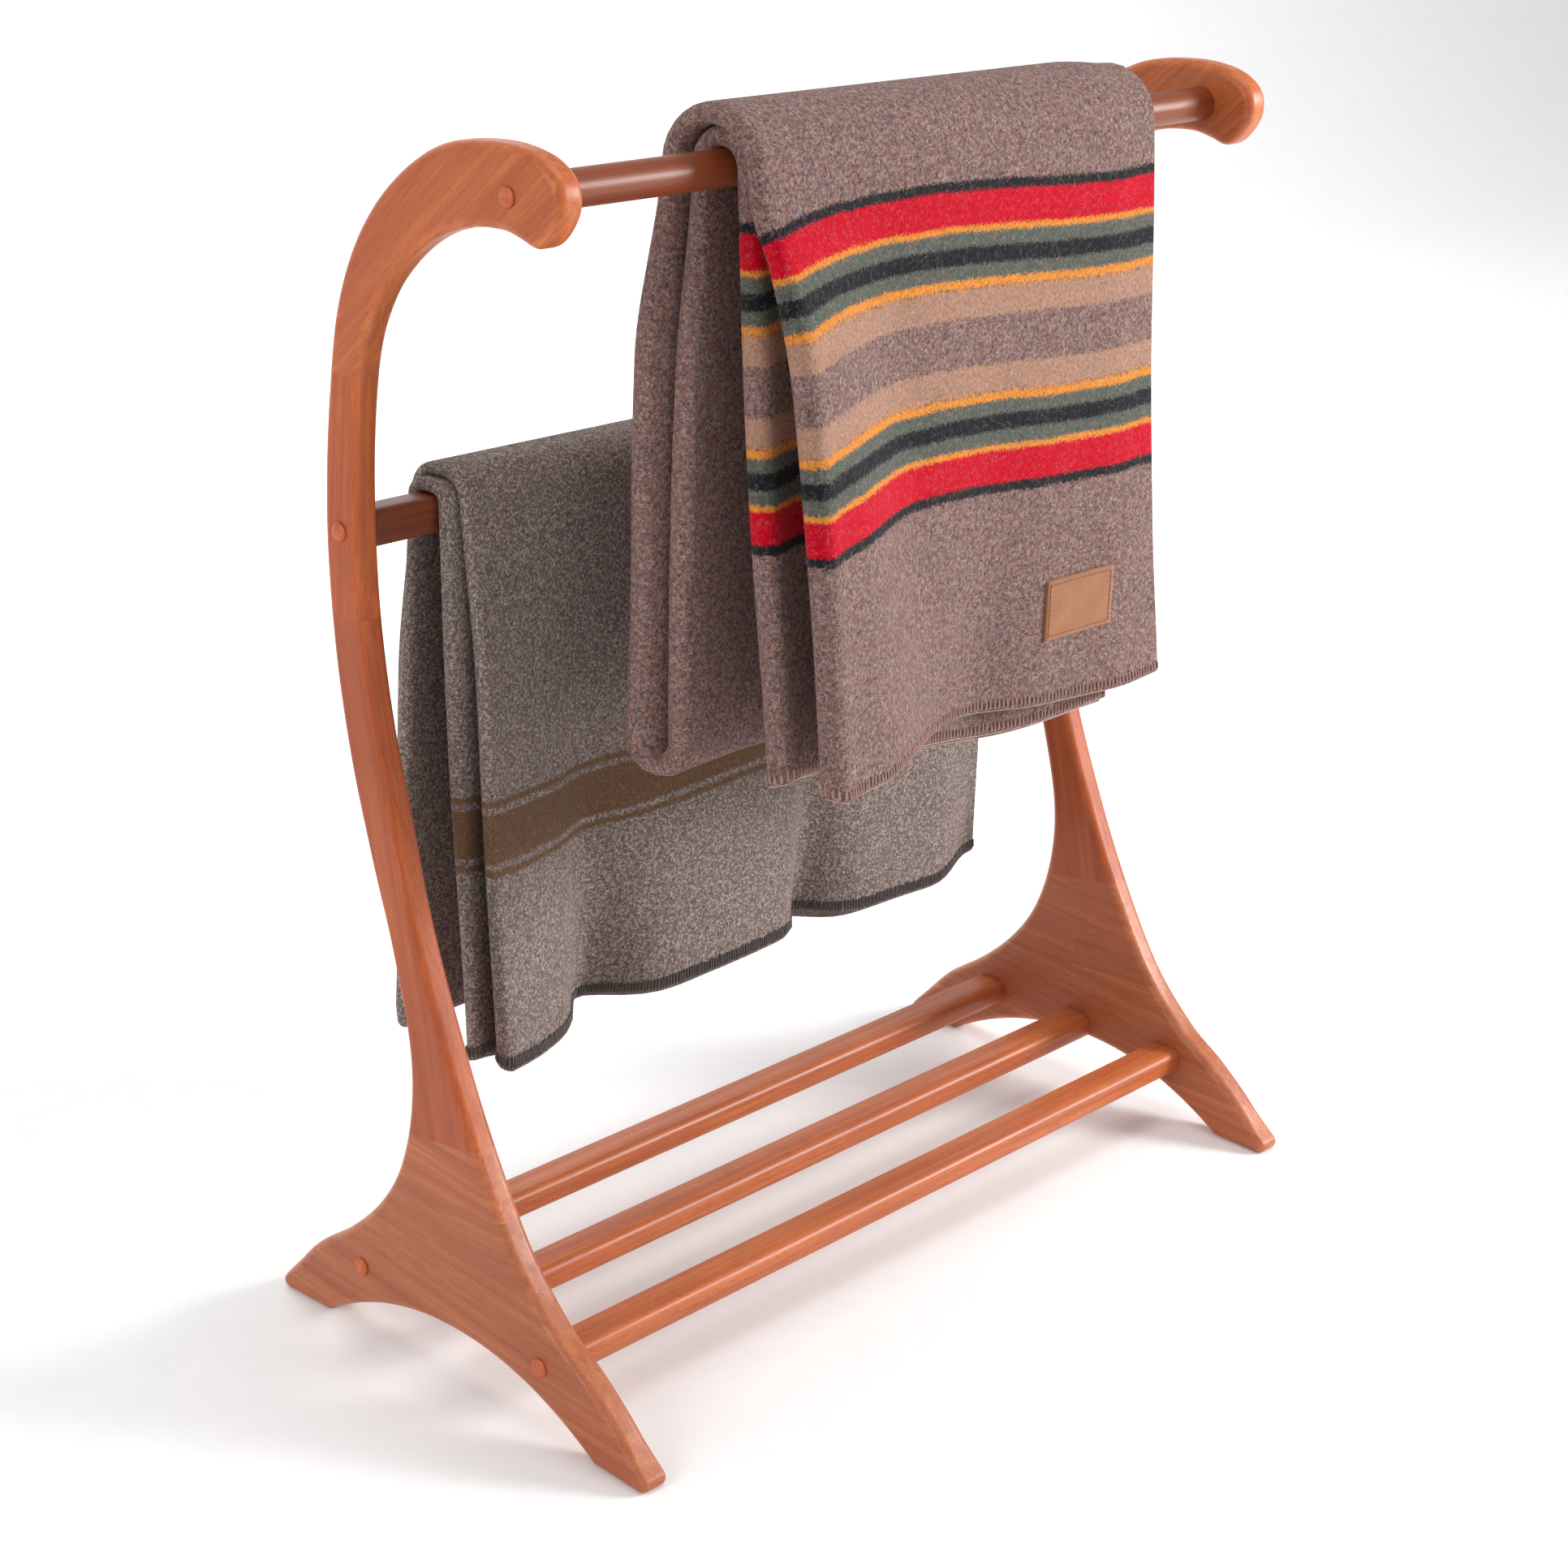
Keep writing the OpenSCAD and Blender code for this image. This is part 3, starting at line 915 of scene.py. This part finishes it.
def low_outer_push(x, d):
    front, behind = hang_shares(d, LOW_DROP)
    lean = -0.020 * front
    edge = -0.014 * front * smooth_step((-0.215 - x) / 0.09)
    bulge = -0.010 * hump(x, -0.255, 0.045) * front
    valley = 0.044 * hump(x, -0.182 + 0.028 * front, 0.036) * front**2
    second = 0.038 * hump(x, 0.080, 0.026) * front**2.2
    middle = -0.006 * hump(x, -0.04, 0.06) * front
    right = 0.022 * smooth_step((x - 0.22) / 0.08) * front**1.5
    swing = lean + edge + bulge + valley + second + middle + right
    return swing + 0.012 * behind + ripple(x, d, 0.3) * (front + behind)


def low_inner_push(x, d):
    front, behind = hang_shares(d, LOW_DROP)
    lean = -0.014 * front
    edge = -0.012 * front * smooth_step((-0.20 - x) / 0.09)
    valley = 0.036 * hump(x, -0.182 + 0.028 * front, 0.036) * front**2
    second = 0.030 * hump(x, 0.080, 0.03) * front**2.2
    right = 0.016 * smooth_step((x - 0.22) / 0.08) * front**1.5
    return lean + edge + valley + second + right + 0.010 * behind


def low_outer_front(a):
    corner = 0.009 * smooth_step((a - 0.85) / 0.15)
    return LOW_DROP - 0.003 + 0.004 * np.sin(a * 7) - 0.007 * hump(a, 0.42, 0.16) - corner


def low_inner_front(a):
    corner = 0.008 * (1 - smooth_step(a / 0.1))
    return LOW_DROP + 0.004 - corner + 0.003 * np.sin(a * 9) - 0.007 * hump(a, 0.42, 0.16)


low_loose = looseness(0.5, 0.03, 0.59)
low_outer = Half(
    offset=6 * LOW_PLY,
    loose=low_loose,
    left=slide_with(low_low.x + 2 * LOW_PLY + 0.009, 0.002, LOW_DROP, 1.5 * MM, 0.4),
    right=slide_with(low_high.x - LOW_PLY, 0.010, LOW_DROP, 2.0 * MM, 1.0),
    push=low_outer_push,
    front=low_outer_front,
    back=0.403,
)
low_inner = Half(
    offset=2 * LOW_PLY,
    loose=low_loose,
    left=slide_with(low_low.x + 2 * LOW_PLY - 0.003, 0.006, LOW_DROP, 1.5 * MM, 2.2),
    right=slide_with(low_high.x - 0.010, 0.0, LOW_DROP, 1.5 * MM, 0.2),
    push=low_inner_push,
    front=low_inner_front,
    back=0.403,
)
low_blanket = FoldedBlanket(
    "lower_wool_blanket", low_saddle, low_outer, low_inner, LOW_PLY, 52,
    {"front": 42, "turn": 17, "back": 40}, [5 * MM, 0.0, 1 * MM, 4 * MM],
)

TOP_FLECKS = [
    (0.9, 0.13, 0.70, srgb(150, 98, 72)),
    (1.1, 0.12, 0.70, srgb(98, 94, 106)),
    (1.3, 0.08, 0.60, srgb(54, 38, 36)),
    (1.0, 0.09, 0.60, srgb(188, 164, 156)),
]
LOW_FLECKS = [
    (1.0, 0.09, 0.45, srgb(112, 108, 114)),
    (1.1, 0.08, 0.60, srgb(56, 46, 44)),
    (0.9, 0.10, 0.70, srgb(208, 194, 182)),
]
RED = srgb(190, 0, 34)
GOLD = srgb(214, 134, 50)
GREEN = srgb(60, 86, 76)
BLACK = srgb(24, 27, 32)
TAN = srgb(168, 129, 108)
BROWN = srgb(104, 74, 48)
TOP_STRIPES = [
    (0.0185, TAN, 0.0), (0.039, TAN, 0.9), (0.041, GOLD, 0.3), (0.047, GOLD, 0.97),
    (0.0575, GREEN, 0.68), (0.070, BLACK, 0.99), (0.081, GREEN, 0.68), (0.0855, GOLD, 0.97),
    (0.111, RED, 1.0), (0.1185, BLACK, 0.98),
]
LOW_STRIPES = [(0.0185, BROWN, 0.88), (0.0235, BROWN, 0.0), (0.0285, BROWN, 0.88)]

top_wool = striped_wool(
    "brown_wool", 430, srgb(152, 122, 115), srgb(80, 57, 53), TOP_FLECKS, TOP_STRIPES,
    0.298, 1.6 * MM, 1.1 * MM, srgb(190, 166, 158),
)
low_wool = striped_wool(
    "grey_wool", 640, srgb(142, 124, 117), srgb(80, 66, 62), LOW_FLECKS, LOW_STRIPES,
    0.178, 1.2 * MM, 0.7 * MM, srgb(190, 176, 168),
)

top_object = top_blanket.build(top_wool, "top_blanket_body", "brown_wool", "top_blanket")
low_object = low_blanket.build(low_wool, "lower_blanket_body", "grey_wool", "lower_blanket")

# ---------------------------------------------------------------- stitched edges


def tube(path, radius, sides, ring_start):
    """Corners and faces of a round thread along a path, closed at both ends."""
    path = np.array(path)
    along = unit(np.gradient(path, axis=0))
    helper = np.array([0.31, 0.87, 0.38])
    first = unit(np.cross(along, helper))
    second = np.cross(along, first)
    verts = []
    radii = np.broadcast_to(radius, len(path))
    for k, point in enumerate(path):
        for angle in np.arange(sides) * 2 * math.pi / sides:
            verts.append(point + radii[k] * (first[k] * math.cos(angle) + second[k] * math.sin(angle)))
    faces = grid_faces(len(path), sides, closed=True, start=ring_start)
    last = ring_start + len(verts) - sides
    faces.append(tuple(reversed(range(ring_start, ring_start + sides))))
    faces.append(tuple(range(last, last + sides)))
    return verts, faces


def edge_stitches(blanket, name, depth, spacing, radius, slant, material, seed):
    """Blanket stitches round both ends of the cloth."""
    rng = np.random.default_rng(seed)
    verts, faces = [], []
    for grid in (blanket.grid, blanket.grid[::-1]):
        edge, upper = grid[0], grid[2]
        steps = np.linalg.norm(np.diff(edge, axis=0), axis=1)
        length = np.concatenate([[0], np.cumsum(steps)])
        count = int(length[-1] / spacing)
        half = blanket.thickness / 2
        for k in range(count):
            s = (k + 0.5 + rng.uniform(-0.12, 0.12)) * spacing
            at = np.array([np.interp(s, length, edge[:, i]) for i in range(3)])
            higher = np.array([np.interp(s, length, upper[:, i]) for i in range(3)])
            ahead = np.array([np.interp(s + 1 * MM, length, edge[:, i]) for i in range(3)])
            up, side = unit(higher - at), unit(ahead - at)
            out = unit(np.cross(side, up))
            tall = depth * rng.uniform(0.88, 1.1)
            thick = half + radius * 0.35
            path = [
                at + up * tall + out * half * 0.7 + side * slant,
                at + up * tall * 0.92 + out * thick + side * slant * 0.9,
                at + up * tall * 0.4 + out * (thick + radius * 0.25) + side * slant * 0.4,
                at - up * radius * 0.5,
                at + up * tall * 0.4 - out * (thick + radius * 0.25) + side * slant * 0.4,
                at + up * tall * 0.92 - out * thick + side * slant * 0.9,
                at + up * tall - out * half * 0.7 + side * slant,
            ]
            shape = radius * np.array([0.5, 0.9, 1, 0.9, 1, 0.9, 0.5]) * rng.uniform(0.9, 1.1)
            v, f = tube(path, shape, 6, len(verts))
            verts += v
            faces += f
    return finish_piece(new_object(name, verts, faces, material), blanket.body, blanket.slot)


def edge_thread(blanket, name, radius, material):
    """The thread that joins the stitches along the very edge."""
    verts, faces = [], []
    for grid in (blanket.grid, blanket.grid[::-1]):
        edge, upper = grid[0], grid[2]
        path = edge - unit(upper - edge) * radius * 0.8
        v, f = tube(path, radius, 6, len(verts))
        verts += v
        faces += f
    return finish_piece(new_object(name, verts, faces, material), blanket.body, blanket.slot)


top_yarn = yarn("tan_yarn", srgb(178, 140, 128), srgb(140, 104, 94))
top_thread = yarn("pale_yarn", srgb(206, 178, 168), srgb(172, 138, 128))
low_yarn = yarn("charcoal_yarn", srgb(88, 76, 72), srgb(58, 49, 47))
low_thread = yarn("charcoal_edge", srgb(110, 96, 90), srgb(74, 64, 60))

top_hem = [
    edge_stitches(top_blanket, "top_blanket_stitches", 8.5 * MM, 4.2 * MM, 1.05 * MM, 0.3 * MM, top_yarn, 4),
    edge_thread(top_blanket, "top_blanket_edge_thread", 0.8 * MM, top_thread),
]
low_hem = [
    edge_stitches(low_blanket, "lower_blanket_stitches", 10 * MM, 2.6 * MM, 1.25 * MM, 0.8 * MM, low_yarn, 9),
    edge_thread(low_blanket, "lower_blanket_edge_thread", 0.7 * MM, low_thread),
]

HAIR_RADIUS = 0.08 * MM


def loose_hairs(blanket, name, count, length, material, seed):
    """Single hairs that stand off the outside of the cloth, each a thin three-sided fibre."""
    rng = np.random.default_rng(seed)
    grid = blanket.outer_grid
    rows = rng.uniform(0, len(grid) - 1.001, count)
    columns = rng.uniform(blanket.columns, blanket.face_columns.stop - 1.001, count)
    r, c = rows.astype(int), columns.astype(int)
    u, v = (rows - r)[:, None], (columns - c)[:, None]

    def at(values):
        low = values[r, c] * (1 - v) + values[r, c + 1] * v
        high = values[r + 1, c] * (1 - v) + values[r + 1, c + 1] * v
        return low * (1 - u) + high * u

    down = unit(grid[r + 1, c] - grid[r, c])
    across = unit(grid[r, c + 1] - grid[r, c])
    out = unit(np.cross(across, down))
    out *= np.sign((out * (at(grid) - at(blanket.middle))).sum(1))[:, None]
    start = at(grid) + out * blanket.thickness * 0.45
    angle = rng.uniform(0, 2 * math.pi, count)[:, None]
    bend = rng.uniform(-1.2, 1.2, count)[:, None]
    long = (length * rng.uniform(0.5, 1.3, count))[:, None]
    lift = rng.uniform(0.1, 0.5, count)[:, None]
    side_on = unit(np.cross(out, down))
    corners = []
    for t in (0.0, 0.5, 1.0):
        turned = angle + bend * t
        heading = down * np.cos(turned) + side_on * np.sin(turned)
        beside = down * -np.sin(turned) + side_on * np.cos(turned)
        point = start + heading * long * t * 0.8 + out * long * lift * math.sin(t * 2.2)
        for k in range(3):
            around = 2 * math.pi * k / 3
            ray = beside * math.cos(around) + out * math.sin(around)
            corners.append(point + HAIR_RADIUS * (1 - 0.5 * t) * ray)
    verts = np.stack(corners, 1).reshape(-1, 3)
    faces = []
    for first in range(0, len(verts), 9):
        faces += grid_faces(3, 3, closed=True, start=first)
        faces += [(first + 2, first + 1, first), (first + 6, first + 7, first + 8)]
    return finish_piece(new_object(name, verts, faces, material), blanket.body, blanket.slot)


brown_hair = yarn("brown_wool_hair", srgb(208, 186, 178), srgb(150, 122, 114))
top_hem.append(loose_hairs(top_blanket, "top_blanket_hairs", 3200, 5.5 * MM, brown_hair, 21))
grey_hair = yarn("grey_wool_hair", srgb(196, 184, 176), srgb(140, 128, 122))
low_hem.append(loose_hairs(low_blanket, "lower_blanket_hairs", 2600, 4 * MM, grey_hair, 22))

# ---------------------------------------------------------------- leather label

label_low, label_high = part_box("leather_label")
label_size = label_high - label_low
LABEL_TILT = 0.012
LABEL_RISE = [0.0, 1.5 * MM, 2.1 * MM]  # the foot, the shoulder and the top
LABEL_EDGE = 0.6 * MM


def on_front(x, z):
    """Where the blanket's face is for a label corner, by a short search."""
    face_width, hem_height = 0.46, 0.415
    across, hem = 0.9, z - hem_height
    for _ in range(12):
        point, normal = top_blanket.outer_face(across, hem)
        across += (x - point[0]) / face_width
        hem += z - point[2]
        across, hem = min(max(across, 0), 1), max(hem, 0)
    return point, normal


def label_patch():
    """A suede patch that lies on the cloth, with softened edges."""
    cols, rows = 19, 13
    top = np.zeros((rows, cols, 3))
    out = np.zeros((rows, cols, 3))
    for r in range(rows):
        for c in range(cols):
            x = label_low.x + label_size.x * c / (cols - 1)
            z = label_low.z + label_size.z * r / (rows - 1)
            z = z + LABEL_TILT * (c / (cols - 1) - 0.5) * label_size.x
            top[r, c], out[r, c] = on_front(x, z)
    border = [(0, c) for c in range(cols)] + [(r, cols - 1) for r in range(1, rows)]
    border += [(rows - 1, c) for c in range(cols - 2, -1, -1)] + [(r, 0) for r in range(rows - 2, 0, -1)]
    centre = top.mean((0, 1))
    verts, faces = [], []
    for r in range(rows):
        for c in range(cols):
            toward = unit(centre - top[r, c])
            edge = (r in (0, rows - 1)) or (c in (0, cols - 1))
            verts.append(top[r, c] + out[r, c] * LABEL_RISE[2] + toward * (LABEL_EDGE if edge else 0))
    faces += grid_faces(rows, cols)
    start = len(verts)
    for level in (1, 0):
        for r, c in border:
            verts.append(top[r, c] + out[r, c] * LABEL_RISE[level])
    ring = len(border)
    for k in range(ring):
        j = (k + 1) % ring
        a, b = border[k], border[j]
        faces.append((start + k, start + j, b[0] * cols + b[1], a[0] * cols + a[1]))
        faces.append((start + ring + k, start + ring + j, start + j, start + k))
    faces.append(tuple(start + ring + k for k in range(ring)))
    obj = new_object("suede_label", verts, faces, suede("suede_leather"))
    turn_outwards(obj)
    obj.data.set_sharp_from_angle(angle=math.radians(50))
    return finish_piece(obj, "top_blanket_body", "suede_leather", "leather_label")


def label_stitches():
    """A line of stitches inside the edge of the label."""
    stitch_inset, stitch, pitch = 3.4 * MM, 2.6 * MM, 3.5 * MM
    verts, faces = [], []
    corners = [(0, 0), (1, 0), (1, 1), (0, 1)]
    width, height = label_size.x - 2 * stitch_inset, label_size.z - 2 * stitch_inset
    for (u0, v0), (u1, v1) in zip(corners, corners[1:] + corners[:1]):
        run = width if v0 == v1 else height
        count = int(run / pitch)
        for k in range(count):
            path = []
            for t in np.linspace(k * pitch, k * pitch + stitch, 4) / (count * pitch):
                u, v = u0 + (u1 - u0) * t, v0 + (v1 - v0) * t
                x = label_low.x + stitch_inset + width * u
                z = label_low.z + stitch_inset + height * v
                z = z + LABEL_TILT * (x - label_low.x - label_size.x / 2)
                point, normal = on_front(x, z)
                path.append(point + normal * (LABEL_RISE[2] + 0.1 * MM))
            v, f = tube(path, 0.42 * MM, 6, len(verts))
            verts += v
            faces += f
    thread = yarn("label_thread", srgb(150, 98, 62), srgb(118, 74, 44))
    obj = new_object("label_stitches", verts, faces, thread)
    return finish_piece(obj, "top_blanket_body", "suede_leather")


label_pieces = [label_patch(), label_stitches()]

# ---------------------------------------------------------------- floor, light and camera


def floor():
    """A plain pale floor that curves up into a backdrop."""
    profile = [(-30, 0), (3.5, 0)]
    for angle in np.radians(np.linspace(5, 90, 12)):
        profile.append((3.5 + 1.5 * math.sin(angle), 1.5 * (1 - math.cos(angle))))
    profile.append((5.0, 6))
    verts = [(x, y, z) for y, z in profile for x in (-30, 0, 30)]
    m = Nodes("pale_floor", Roughness=0.9)
    speckle = m.noise(m.coords(), 40, 3, 0.5)
    m.base_colour(m.ramp(speckle, [(0.3, (0.93, 0.93, 0.93, 1)), (0.7, (0.95, 0.95, 0.95, 1))]))
    m.shader.inputs["Specular IOR Level"].default_value = 0.1
    obj = new_object("floor", verts, grid_faces(len(profile), 3), m.material)
    obj.rotation_euler = (0, 0, math.radians(-20))


def soft_light(name, place, target, size, power):
    data = bpy.data.lights.new(name, "AREA")
    data.shape = "RECTANGLE"
    data.size, data.size_y = size
    data.energy = power
    obj = bpy.data.objects.new(name, data)
    bpy.context.scene.collection.objects.link(obj)
    obj.location = place
    obj.rotation_euler = (Vector(target) - Vector(place)).to_track_quat("-Z", "Y").to_euler()


def camera():
    """The view from the front left, from a little above."""
    azimuth, elevation, roll = (math.radians(v) for v in (-47.56, 18.81, 2.13))
    back = Vector((
        math.sin(azimuth) * math.cos(elevation), -math.cos(azimuth) * math.cos(elevation), math.sin(elevation)
    ))
    right = Vector((math.cos(azimuth), math.sin(azimuth), 0))
    up = back.cross(right)
    level_right, level_up = right, up
    right = level_right * math.cos(roll) + level_up * math.sin(roll)
    up = level_up * math.cos(roll) - level_right * math.sin(roll)
    data = bpy.data.cameras.new("camera")
    data.lens = 70.6
    data.sensor_width = 36
    data.shift_y = -0.06
    obj = bpy.data.objects.new("camera", data)
    bpy.context.scene.collection.objects.link(obj)
    turn = Matrix((right, up, back)).transposed().to_4x4()
    obj.matrix_world = Matrix.Translation((-1.6598, -1.4707, 1.2004)) @ turn
    bpy.context.scene.camera = obj


floor()
camera()
soft_light("key", (2.5, -2.2, 1.6), (0, 0, 0.5), (1.1, 1.1), 120)
soft_light("fill", (-3.0, 0.1, 1.6), (0, 0, 0.5), (1.8, 1.8), 36)
soft_light("top", (0.2, -0.3, 3.4), (0, 0, 0.5), (1.6, 1.6), 22)
soft_light("backdrop", (0.8, 2.6, 3.2), (1.6, 4.6, 0.8), (2.4, 2.4), 130)

world = bpy.data.worlds.new("studio")
world.use_nodes = True
world.node_tree.nodes["Background"].inputs[0].default_value = (1, 1, 1, 1)
world.node_tree.nodes["Background"].inputs[1].default_value = 0.48
bpy.context.scene.world = world
bpy.context.scene.view_settings.view_transform = "Standard"
